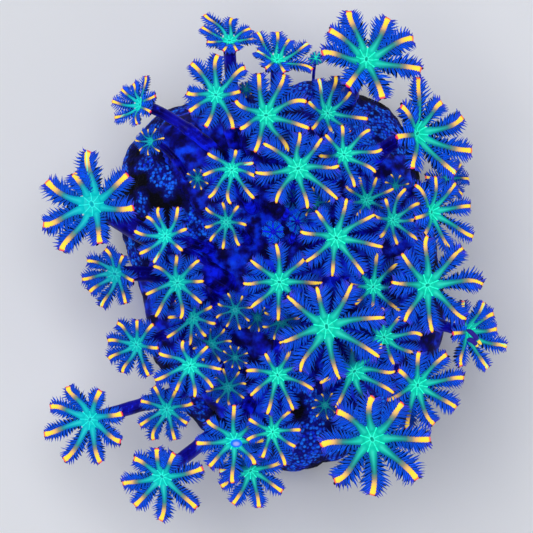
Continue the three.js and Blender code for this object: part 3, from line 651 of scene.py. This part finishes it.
def grow_stalk(shell, polyp, seed):
    """The stalk and its flaring neck, as one skin from the foot up, and its last ring."""
    head, foot, upright = polyp["head"], polyp["foot"], polyp["upright"]
    rings, height = stalk_rings(polyp, seed)
    controls = [foot, foot + Vector((0, 0, 0.3 * height)), head - upright * 0.4 * height, head]
    frames = []
    facing, ahead = polyp["spin"].copy(), upright
    for share, width, skin in reversed(rings):
        place, way = bezier(controls, max(share, 0.0))
        place = place + way * min(share, 0.0) * height
        facing = ahead.rotation_difference(way) @ facing
        ahead = way
        frames.append((place, facing.copy(), width * polyp["stalk"], skin))
    frames.reverse()
    below = shell.corner(frames[0][0] - Vector((0, 0, 0.3 * MM)), stalk=1.0)
    last = None
    for number, (place, facing, radius, skin) in enumerate(frames):
        rim = max(0.0, (number - len(frames) + 4) / 4)
        ring = []
        for step in range(AROUND):
            around = 360 * step / AROUND
            turn = around + polyp["arms"][0][0]
            lobed = 1 + 0.1 * rim * math.cos(math.radians(ARMS * around))
            lobed += 0.025 * noise.noise(Vector((3 * math.cos(math.radians(turn)), number, seed)))
            point = place + facing @ bearing_vector(turn, radius * lobed)
            seam = seam_distance(radius, around) if skin > 0.7 else FAR_FROM_SEAM
            ring.append(shell.corner(point, reach=0.22 * rim, stalk=skin, seam=seam))
        if last is None:
            shell.lid(ring, below, top=False)
        else:
            shell.band(last, ring)
        last = ring
    return last


def grow_disc(shell, polyp, last, seed):
    """The mouth disc inside the neck's rim, with its partition lines and the slit of its mouth."""
    disc, head, spin = polyp["disc"], polyp["head"], polyp["spin"]
    for share, rise in DISC_RINGS:
        ring = []
        for step in range(AROUND):
            around = 360 * step / AROUND
            turn = around + polyp["arms"][0][0]
            web = math.cos(math.radians(ARMS * around))
            slit = 1 + 0.25 * (share < MOUTH_EDGE) * math.cos(math.radians(2 * (turn - 40 * seed)))
            lift = disc * (rise + 0.03 * (share > MOUTH_EDGE) * web)
            seam = seam_distance(disc * share, around) if 0.2 < share < 1 else FAR_FROM_SEAM
            point = head + spin @ bearing_vector(turn, disc * share * slit, lift)
            ring.append(shell.corner(point, reach=0.2 * share, seam=seam))
        shell.band(last, ring)
        last = ring
    shell.lid(last, shell.corner(head - polyp["upright"] * 0.08 * disc), top=True)


def grow_mouth(shell, polyp, mouth):
    """A mouth that is pushed out of its disc: a pale bead, longer than it is wide."""
    bearing, distance, long, wide = (mouth[0], *(size * MM for size in mouth[1:]))
    middle = polyp["head"] + polyp["spin"] @ bearing_vector(bearing, distance, MOUTH_LIFT * wide)
    pole = polyp["spin"] @ Vector((0, 0, wide))
    rings = []
    for level in range(1, MOUTH_LEVELS):
        polar = math.pi * level / MOUTH_LEVELS
        ring = []
        for step in range(AROUND // 2):
            turn = 4 * math.pi * step / AROUND
            spoke = Vector((long * math.cos(turn), wide * math.sin(turn), 0)) * math.sin(polar)
            place = middle + polyp["spin"] @ spoke - pole * math.cos(polar)
            ring.append(shell.corner(place, reach=-1.0, crest=-math.cos(polar)))
        rings.append(ring)
    foot = shell.corner(middle - pole, reach=-1.0, crest=-1.0)
    shell.closed(rings, foot, shell.corner(middle + pole, reach=-1.0))


def arm_frame(polyp, path, along):
    """A place on a tentacle's curve, the way on from it, and what is sideways and up there."""
    place, way = bezier(path, along)
    side = polyp["upright"].cross(way).normalized()
    return place, way, side, way.cross(side)


def spokes(side, top, width, depth):
    """Each turn round a rib, with the spoke from its middle to its skin there."""
    for number in range(RIB_SIDES):
        turn = 2 * math.pi * number / RIB_SIDES
        yield turn, side * math.cos(turn) * width + top * math.sin(turn) * depth


def grow_curl(shell, polyp, path):
    """A tentacle that has rolled back over the disc: a violet tube, with its ripe tip last."""
    controls = [polyp["head"] + polyp["spin"] @ (Vector(place) * MM) for place in path]
    rings, ends = [], []
    for step in range(CURL_STEPS + 1):
        along = step / CURL_STEPS
        place, way, side, top = arm_frame(polyp, controls, along)
        tip = along > CURL_TIP
        share = 0.87 if tip else -0.3
        width = CURL_RADIUS * (1 - 0.35 * tip) * min(1.0, 0.4 + 3 * along, 0.4 + 6 * (1 - along))
        seam = 0.1 + step % 2
        rings.append([
            shell.corner(place + spoke, reach=share, seam=seam)
            for _, spoke in spokes(side, top, width, width)
        ])
        if step in (0, CURL_STEPS):
            outwards = way * 0.3 * width * (1 if step else -1)
            ends.append(shell.corner(place + outwards, reach=share))
    shell.closed(rings, *ends, inwards=True)


def arm_path(polyp, arm, seed):
    """The controls of a tentacle's curve: its root on the disc, two bends and its tip."""
    root, bearing, distance = arm
    reach, head = polyp["reach"], polyp["head"]
    tip = bearing_vector(bearing, distance)
    tip.z = polyp["cup"] * reach - tip.dot(polyp["slope"])
    start = head + polyp["spin"] @ bearing_vector(root, 0.8 * polyp["disc"])
    rise = (0.6 * polyp["cup"] + 2 * ARM_ARCH) * reach
    sway = 7 * math.sin(1.7 * seed + root)
    bend = head + polyp["spin"] @ bearing_vector(root + sway, 0.5 * distance, rise)
    hook = HOOK * noise.noise(Vector((1.3 * root, 0.7 * seed, 5.1)))
    late = head + tip.lerp(Vector((0, 0, rise)), 0.22) + bearing_vector(bearing + 90, hook * distance)
    return [start, bend, late, head + tip]


def rib_size(reach, along, flare):
    """A rib's half width and half depth: broad where it leaves the disc, then slender, with a
    blunt tip that flares on the outer crowns."""
    root = RIB_WIDTH * reach
    end = min(root, RIB_END)
    end += flare * (RIB_END_SHARE * root - end)
    stem = root + (end - root) * along
    tip = (0.004 + 0.016 * flare) * reach * math.exp(-(((along - 0.94) / 0.08) ** 2))
    base = BASE_SPREAD * reach * math.exp(-((along / 0.17) ** 2))
    return max(stem + base + tip, RIB_LEAST), max(RIB_DEPTH * stem + 0.3 * tip, 0.85 * RIB_LEAST)


def grow_rib(shell, polyp, root, path, seed):
    """A tentacle's rib, as a closed tube that colours as it ripens towards its tip."""
    flare = polyp["flare"]
    ripeness = (0.975 + 0.025 * flare) * polyp["ripe"]
    shift = 0.22 * noise.noise(Vector((seed * 0.77, 4.1, 0.3)))
    rings, ends = [], []
    for step in range(RIB_STEPS + 1):
        along = step / RIB_STEPS
        place, way, side, top = arm_frame(polyp, path, along)
        width, depth = rib_size(polyp["reach"], along, flare)
        blunt = 0.65 + 0.3 * flare if step == RIB_STEPS else 1
        share = ARM_ROOT + (ripeness - ARM_ROOT) * (along + shift * along * (1 - along))
        ring = []
        for turn, spoke in spokes(side, top, width, depth):
            point = place + spoke * blunt
            flat = (polyp["spin"].inverted() @ (point - polyp["head"])).xy
            offset = math.degrees(math.atan2(flat.y, flat.x)) - root
            inside = HALF_SECTOR - abs((offset + 180) % 360 - 180)
            rim = (1 - abs(math.cos(turn))) * width / MM + 0.03 + 0.3 * along
            between = flat.length / MM * math.sin(math.radians(max(inside, -90)))
            ring.append(shell.corner(point, reach=share, seam=min(rim, between), crest=math.sin(turn)))
        rings.append(ring)
        if step in (0, RIB_STEPS):
            outwards = way * (0.8 - 0.5 * flare if step else -1) * depth
            ends.append(shell.corner(place + outwards, reach=share))
    shell.closed(rings, *ends, inwards=True)


def barbs_along(length):
    """How many barbs a row has along a rib of that length."""
    fewest, more = BARB_COUNT
    return fewest + more * length / MM


def root_barbs(barbs, polyp, length, path, seed):
    """Adds a tentacle's barbs: (root, way, top, length, reach, row), in pairs down the rib."""
    count = round(barbs_along(length))
    for row, (lift, share) in enumerate(BARB_ROWS):
        for number in range(count):
            along = 0.05 + 0.94 * (number + 0.5 + 0.5 * row) / (count + 0.5)
            place, way, side, top = arm_frame(polyp, path, along)
            width, depth = rib_size(polyp["reach"], along, 0.0)
            outer = max(0.0, (along - 0.5) / 0.5)
            full = min(1.0, 0.02 + 1.7 * along + 0.3 * polyp["flare"]) * (1 - 0.8 * outer ** 2)
            for hand in (-1, 1):
                wobble = noise.noise(Vector((number * 1.7 + 0.3 * row, hand * 3.1, seed)))
                sweep = math.radians(74 - 26 * along) + 0.25 * wobble
                level = side * hand * math.sin(sweep) + way * math.cos(sweep)
                heading = level + top * (lift + 0.2 * wobble)
                root = place + side * hand * 0.7 * width + top * (0.8 * lift - 0.3) * depth
                size = polyp["barbs"] * full * share / math.sin(sweep) * (1 + 0.15 * wobble)
                reach = ARM_ROOT + (1 - ARM_ROOT) * along * polyp["ripe"]
                barbs.append((root, heading.normalized(), top, size, reach, row))


def barb_tree():
    """Geometry Nodes that put a wavy, tapering barb on each loose point of a polyp's skin."""
    tree = bpy.data.node_groups.new("feather barbs", "GeometryNodeTree")
    tree.interface.new_socket("Polyp", in_out="INPUT", socket_type="NodeSocketGeometry")
    sizes = (
        ("Barb radius", "Float", 0.17 * MM), ("Barb sides", "Int", 4), ("Barb steps", "Int", 3),
        ("Barb curl", "Float", 1.5), ("Barb wave", "Float", 0.8 * MM), ("Length spread", "Float", 0.1),
        ("Under row", "Float", 1.8), ("Seed", "Int", 5),
    )
    for name, kind, value in sizes:
        made = tree.interface.new_socket(name, in_out="INPUT", socket_type="NodeSocket" + kind)
        made.default_value = value
    tree.interface.new_socket("Tissue", in_out="INPUT", socket_type="NodeSocketMaterial")
    tree.interface.new_socket("Polyp", in_out="OUTPUT", socket_type="NodeSocketGeometry")
    given = add_node(tree, "NodeGroupInput").outputs
    read = {
        name: add_node(tree, "GeometryNodeInputNamedAttribute", [("Name", name)], data_type=kind)
        for name, kind in (("barb_way", "FLOAT_VECTOR"), ("barb_top", "FLOAT_VECTOR"),
                           ("barb_length", "FLOAT"), ("barb", "FLOAT"), ("row", "FLOAT"))
    }
    rooted = add_node(tree, "FunctionNodeCompare", [(0, read["barb_length"]), (1, 0.0)],
                      data_type="FLOAT", operation="GREATER_THAN")
    parts = add_node(tree, "GeometryNodeSeparateGeometry",
                     [("Geometry", given["Polyp"]), ("Selection", rooted)], domain="POINT")
    middle = add_node(tree, "ShaderNodeCombineXYZ", [("X", 0.55), ("Y", 0.0), ("Z", given["Barb curl"])])
    spine = add_node(tree, "GeometryNodeCurveQuadraticBezier",
                     [("Resolution", given["Barb steps"]), ("Start", (0, 0, 0)),
                      ("Middle", middle), ("End", (1.0, 0, 0))])
    along = add_node(tree, "GeometryNodeSplineParameter").outputs["Factor"]
    outwards = add_node(tree, "ShaderNodeMapRange", [(0, along), (3, 0.1), (4, 1.0)])
    marked = add_node(tree, "GeometryNodeStoreNamedAttribute",
                      [("Geometry", spine), ("Name", "barb"), ("Value", outwards)],
                      data_type="FLOAT", domain="POINT")
    taper = add_node(tree, "ShaderNodeMapRange", [(0, along), (1, 0.5), (2, 1.0), (3, 1.0), (4, 0.5)],
                     interpolation_type="SMOOTHSTEP")
    here = add_node(tree, "GeometryNodeInputPosition")
    circle = add_node(tree, "GeometryNodeCurvePrimitiveCircle",
                      [("Resolution", given["Barb sides"]), ("Radius", 1.0)], mode="RADIUS")
    height = add_node(tree, "ShaderNodeSeparateXYZ", [("Vector", here)]).outputs["Y"]
    profile = add_node(tree, "GeometryNodeStoreNamedAttribute",
                       [("Geometry", circle), ("Name", "crest"), ("Value", height)],
                       data_type="FLOAT", domain="POINT")
    barb = add_node(tree, "GeometryNodeCurveToMesh",
                    [("Curve", marked), ("Profile Curve", profile),
                     ("Scale", taper), ("Fill Caps", True)])
    facing = add_node(tree, "FunctionNodeAxesToRotation",
                      [("Primary Axis", read["barb_way"]), ("Secondary Axis", read["barb_top"])],
                      primary_axis="X", secondary_axis="Z")
    least, most = (
        add_node(tree, "ShaderNodeMath", [(0, 1.0), (1, given["Length spread"])], operation=change)
        for change in ("SUBTRACT", "ADD")
    )
    chance = add_node(tree, "FunctionNodeRandomValue", [(2, least), (3, most), ("Seed", given["Seed"])],
                      data_type="FLOAT")
    length = multiplied(tree, [read["barb_length"], chance.outputs[1]])
    stout = add_node(tree, "ShaderNodeMapRange", [(0, read["row"]), (3, 1.0), (4, given["Under row"])])
    girth = multiplied(tree, [stout, given["Barb radius"]])
    size = add_node(tree, "ShaderNodeCombineXYZ",
                    [("X", length), ("Y", girth), ("Z", given["Barb radius"])])
    placed = add_node(tree, "GeometryNodeInstanceOnPoints",
                      [("Points", parts.outputs["Selection"]), ("Instance", barb),
                       ("Rotation", facing), ("Scale", size)])
    real = add_node(tree, "GeometryNodeRealizeInstances", [("Geometry", placed)])
    ripple = add_node(tree, "ShaderNodeTexNoise",
                      [("Vector", here), ("Scale", 1 / WAVE_LENGTH), ("Detail", 0.0)])
    about = add_node(tree, "ShaderNodeVectorMath",
                     [(0, ripple.outputs["Color"]), (1, (0.5, 0.5, 0.5))], operation="SUBTRACT")
    sway = multiplied(tree, [read["barb"], given["Barb wave"]])
    push = add_node(tree, "ShaderNodeVectorMath", [(0, about), ("Scale", sway)], operation="SCALE")
    waved = add_node(tree, "GeometryNodeSetPosition",
                     [("Geometry", real), ("Offset", push)])
    whole = add_node(tree, "GeometryNodeJoinGeometry", [("Geometry", waved)])
    tree.links.new(parts.outputs["Inverted"], whole.inputs["Geometry"])
    smooth = add_node(tree, "GeometryNodeSetShadeSmooth", [("Geometry", whole)])
    painted = add_node(tree, "GeometryNodeSetMaterial",
                       [("Geometry", smooth), ("Material", given["Tissue"])])
    add_node(tree, "NodeGroupOutput", [("Polyp", painted)])
    return tree


def glowing_tissue():
    """Living polyp tissue: soft, wet and slightly cloudy. Its pigments are turquoise on the disc, blue down
    the feathers and orange at the tips, on violet stalks. The tissue is lit from within by its own colour as
    painted light, the way it fluoresces under blue light, more strongly on the barbs."""
    material, tree, surface = finish_named("glowing polyp tissue")
    where = add_node(tree, "ShaderNodeTexCoord").outputs["Object"]
    read = {
        name: add_node(tree, "ShaderNodeAttribute", attribute_name=name).outputs["Fac"]
        for name in ("reach", "barb", "row", "stalk", "seam", "crest", "tone_and_painted_shade")
    }
    for name, scale, detail in (("grain", 1.1 / MM, 3.0), ("blotch", 0.35 / MM, 4.0)):
        read[name] = add_node(tree, "ShaderNodeTexNoise",
                              [("Vector", where), ("Scale", scale), ("Detail", detail)])
    read["seam"] = add_node(tree, "ShaderNodeMath", [(0, read["seam"])], operation="ABSOLUTE")
    read["x"] = add_node(tree, "ShaderNodeSeparateXYZ", [(0, where)]).outputs["X"]
    share = shares_of(tree, read, {
        "line": ("seam", 0.02, 0.15, 0.9, 0.0),
        "faint line": ("seam", 0.02, 0.15, 0.11, 0.0),
        "rib side": ("crest", 0.0, 0.45, 1.0, 0.0),
        "rib top": ("crest", 0.75, 1.0),
        "past disc": ("reach", 0.2, 0.24),
        "pale mouth": ("reach", -0.5, -1.0),
        "rolled up": ("reach", -0.1, -0.3),
        "inner arm": ("reach", 0.3, 0.65, 0.5, 0.0),
        "inner half": ("reach", 0.45, 0.6, 1.0, 0.0),
        "outer arm": ("reach", 0.6, 0.75),
        "on barb": ("barb", 0.02, 0.08),
        # painted light and shade on the barbs: darker towards their roots by the rib, near black on the under
        # row, and lighter on their tops than on their sides and undersides
        "barb end": ("barb", 0.0, 0.6, 0.55, 1.0),
        "upper row": ("row", 0.0, 1.0, 1.0, 0.05),
        "barb top": ("crest", -0.6, 0.5, 0.25, 1.0),
        "cool side": ("x", -45 * MM, 0.0, 0.4, 0.0),
        "in shade": ("tone_and_painted_shade", 0.35, 0.9, 0.6, 0.0),
        "speck": ("grain", 0.6, 0.72, 0.0, 0.5),
        "on sleeve": ("stalk", 0.84, 0.98),
        "on stalk": ("stalk", 0.2, 0.7),
        # painted light: how strongly the tissue is lit from within, more on the barbs than on the skin
        "painted_glow": ("barb", 0.02, 0.08, 0.55, 1.25),
    })
    hue = {
        name: add_node(tree, "ShaderNodeValToRGB", [("Fac", read[source])], stops=stops)
        for name, (source, *stops) in TISSUE_HUES.items()
    }
    # the painted light and shade of the barbs scales their hue
    painted_barb_light = multiplied(tree, [share["barb end"], share["upper row"], share["barb top"]])
    feather = add_node(tree, "ShaderNodeVectorMath", [(0, hue["feather"]), ("Scale", painted_barb_light)],
                       operation="SCALE")
    crown = layered(tree, hue["rib"], [
        (hue["rib side"], share["rib side"], share["outer arm"]),
        ("#28e8c4", share["rib top"], share["past disc"], share["inner arm"]),
        ("#30ffd8", share["line"]),
        ("#00a8d8", share["cool side"], share["inner half"]),
        ("#0a78c8", share["in shade"], share["inner half"]),
        (feather, share["on barb"]),
        ("#2c1e86", share["rolled up"]),
        ("#1a70ff", share["pale mouth"]),
        # painted highlight: a pale lilac on the top of the swollen mouth
        ("#98a0ff", share["pale mouth"], share["rib top"]),
    ])
    skin = layered(tree, hue["neck"], [
        (hue["sleeve"], share["on sleeve"]),
        ("#2036ff", share["faint line"]),
        ("#1830ff", share["speck"]),
    ])
    whole = layered(tree, crown, [(skin, share["on stalk"])])
    # painted shade: the colour is scaled down on low and deep crowns and under higher crowns, and scaled up
    # on the shut buds
    colour = add_node(tree, "ShaderNodeVectorMath", [(0, whole), ("Scale", read["tone_and_painted_shade"])],
                      operation="SCALE")
    bumps = (read["grain"], 0.12 * MM, 0.5)
    finish_surface(tree, surface, colour, bumps, share["painted_glow"], rough=0.4, gloss=0.12)
    return material


def light_at(places, polyp, crowns):
    """How much light reaches each place past the other crowns that spread over it."""
    light = np.ones(len(places))
    for crown in crowns:
        if crown is not polyp:
            head = np.array(crown["head"])
            away = np.linalg.norm(places[:, :2] - head[:2], axis=1) / crown["reach"]
            under = np.clip((head[2] - places[:, 2] - SHADE_START) / SHADE_DEPTH, 0, 1)
            light *= 1 - SHADE_MOST * under * np.clip((1 - away) / SHADE_EDGE, 0, 1)
    return np.maximum(light, SHADE_LEAST)


def skin_mesh(row, shell, barbs, light):
    """The skin with loose points for its barbs, and what its finish and its barbs read there."""
    reach, stalk, seam, crest = zip(*shell.values)
    roots, ways, tops, lengths, reaches, rows = zip(*barbs)
    skin, none = (0.0,) * len(reach), (0.0,) * len(barbs)
    # each row's tone: below 1 it is painted shade on low and deep crowns, above 1 it lightens the shut buds;
    # the shade under higher crowns is painted over it
    tone_and_painted_shade = row.get("tone_and_painted_shade", 1.0)
    shut = 1.0 if row.get("shut") else 0.0
    ripe = TIP_LIGHT * np.clip((np.array(reach) - 0.6) / 0.2, 0, 1)
    shade = (1 - light) * min(tone_and_painted_shade, 1.0) * np.concatenate([1 - ripe, np.ones(len(barbs))])
    spared = np.concatenate([ripe, np.full(len(barbs), BARB_LIGHT)])
    columns = {
        "reach": reach + reaches,
        "stalk": tuple(max(share, shut) for share in stalk) + none,
        "seam": seam + (FAR_FROM_SEAM,) * len(barbs),
        "crest": crest + none,
        "row": skin + rows,
        "tone_and_painted_shade": (tone_and_painted_shade + (1 - tone_and_painted_shade) * spared) * (1 - shade),
        "barb": skin + none,
        "barb_length": skin + lengths,
    }
    mesh = bpy.data.meshes.new(row["name"] + "_body")
    mesh.from_pydata(shell.places + list(roots), [], shell.faces)
    for name, column in columns.items():
        mesh.attributes.new(name, "FLOAT", "POINT").data.foreach_set("value", column)
    for name, vectors in (("barb_way", ways), ("barb_top", tops)):
        flat = 3 * skin + tuple(part for vector in vectors for part in vector)
        mesh.attributes.new(name, "FLOAT_VECTOR", "POINT").data.foreach_set("vector", flat)
    return mesh


def grow_polyp(number, crowns, tree, tissue):
    """One polyp as a plain mesh: its skin, with its barbs grown on it."""
    row, polyp = POLYPS[number], crowns[number]
    shell, barbs = Shell(), []
    rim = grow_stalk(shell, polyp, number)
    grow_disc(shell, polyp, rim, number)
    if "mouth" in row:
        grow_mouth(shell, polyp, row["mouth"])
    for path in row.get("curls", ()):
        grow_curl(shell, polyp, path)
    for order, arm in enumerate(polyp["arms"]):
        seed = ARMS * number + order
        path = arm_path(polyp, arm, seed)
        grow_rib(shell, polyp, arm[0], path, seed)
        root_barbs(barbs, polyp, arm[2], path, seed)
    places = np.array(shell.places + [barb[0] for barb in barbs])
    mesh = skin_mesh(row, shell, barbs, light_at(places, polyp, crowns))
    piece = bpy.data.objects.new(mesh.name, mesh)
    bpy.context.scene.collection.objects.link(piece)
    grown = piece.modifiers.new("barbs", "NODES")
    grown.node_group = tree
    sockets = {item.name: item.identifier for item in tree.interface.items_tree if item.in_out == "INPUT"}
    pitch = 0.9 * polyp["reach"] / barbs_along(polyp["reach"])
    grown[sockets["Barb radius"]] = BARB_THICKNESS * pitch
    grown[sockets["Barb wave"]] = BARB_WAVE * polyp["reach"]
    grown[sockets["Seed"]] = number
    grown[sockets["Tissue"]] = tissue
    plain_mesh(piece)
    for name in ("barb_length", "barb_way", "barb_top"):
        kept = piece.data.attributes.get(name)
        if kept:
            piece.data.attributes.remove(kept)
    return piece


feathers = barb_tree()
tissue = glowing_tissue()
crowns = [measured(row) for row in POLYPS]
for number, row in enumerate(POLYPS):
    polyp = grow_polyp(number, crowns, feathers, tissue)
    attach(polyp, "root")
    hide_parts(row["name"])


# The colony stands on a pale, plain studio floor under one large soft light, and the camera
# looks straight down on it from far enough away that its crowns keep their places.
FLOOR_SIDE = 3.0
FRAME_WIDTH = 120 * MM
CROWN_LEVEL = 46 * MM
FLOOR_DROP = 0.05 * MM
CAMERA_HEIGHT = 1.6
SENSOR_WIDTH = 36
CARD_WHITE = "#eeeff1"

plane = bpy.data.meshes.new("studio_floor")
half = FLOOR_SIDE / 2
corners = [(-half, -half, 0), (half, -half, 0), (half, half, 0), (-half, half, 0)]
plane.from_pydata(corners, [], [(0, 1, 2, 3)])
floor = bpy.data.objects.new("studio_floor", plane)
floor.location.z = -FLOOR_DROP
bpy.context.scene.collection.objects.link(floor)
card, _, card_surface = finish_named("matt white card")
card_finish = {"Base Color": linear(CARD_WHITE), "Roughness": 0.9,
               "Emission Color": linear(CARD_WHITE), "Emission Strength": 0.1}
for socket_name, value in card_finish.items():
    card_surface.inputs[socket_name].default_value = value
plane.materials.append(card)


def soft_light(name, place, side, watts):
    """A square light that faces the colony."""
    lamp = bpy.data.lights.new(name, "AREA")
    lamp.shape = "SQUARE"
    lamp.size = side
    lamp.energy = watts
    light = bpy.data.objects.new(name, lamp)
    light.location = place
    light.rotation_euler = (-Vector(place)).to_track_quat("-Z", "Y").to_euler()
    bpy.context.scene.collection.objects.link(light)


soft_light("overhead_softbox", (-0.2, 0.25, 1.1), 0.9, 8)
soft_light("side_fill", (0.8, -0.7, 0.5), 0.6, 1.5)

world = bpy.data.worlds.new("dim_studio")
world.use_nodes = True
backdrop = world.node_tree.nodes["Background"]
backdrop.inputs["Color"].default_value = linear("#dfe6f5")
backdrop.inputs["Strength"].default_value = 0.28
bpy.context.scene.world = world

lens = bpy.data.cameras.new("overhead_camera")
lens.sensor_width = SENSOR_WIDTH
lens.lens = SENSOR_WIDTH * (CAMERA_HEIGHT - CROWN_LEVEL) / FRAME_WIDTH
lens.clip_end = 10
camera = bpy.data.objects.new("overhead_camera", lens)
camera.location = (0, 0, CAMERA_HEIGHT)
bpy.context.scene.collection.objects.link(camera)
bpy.context.scene.camera = camera
bpy.context.scene.view_settings.view_transform = "Standard"
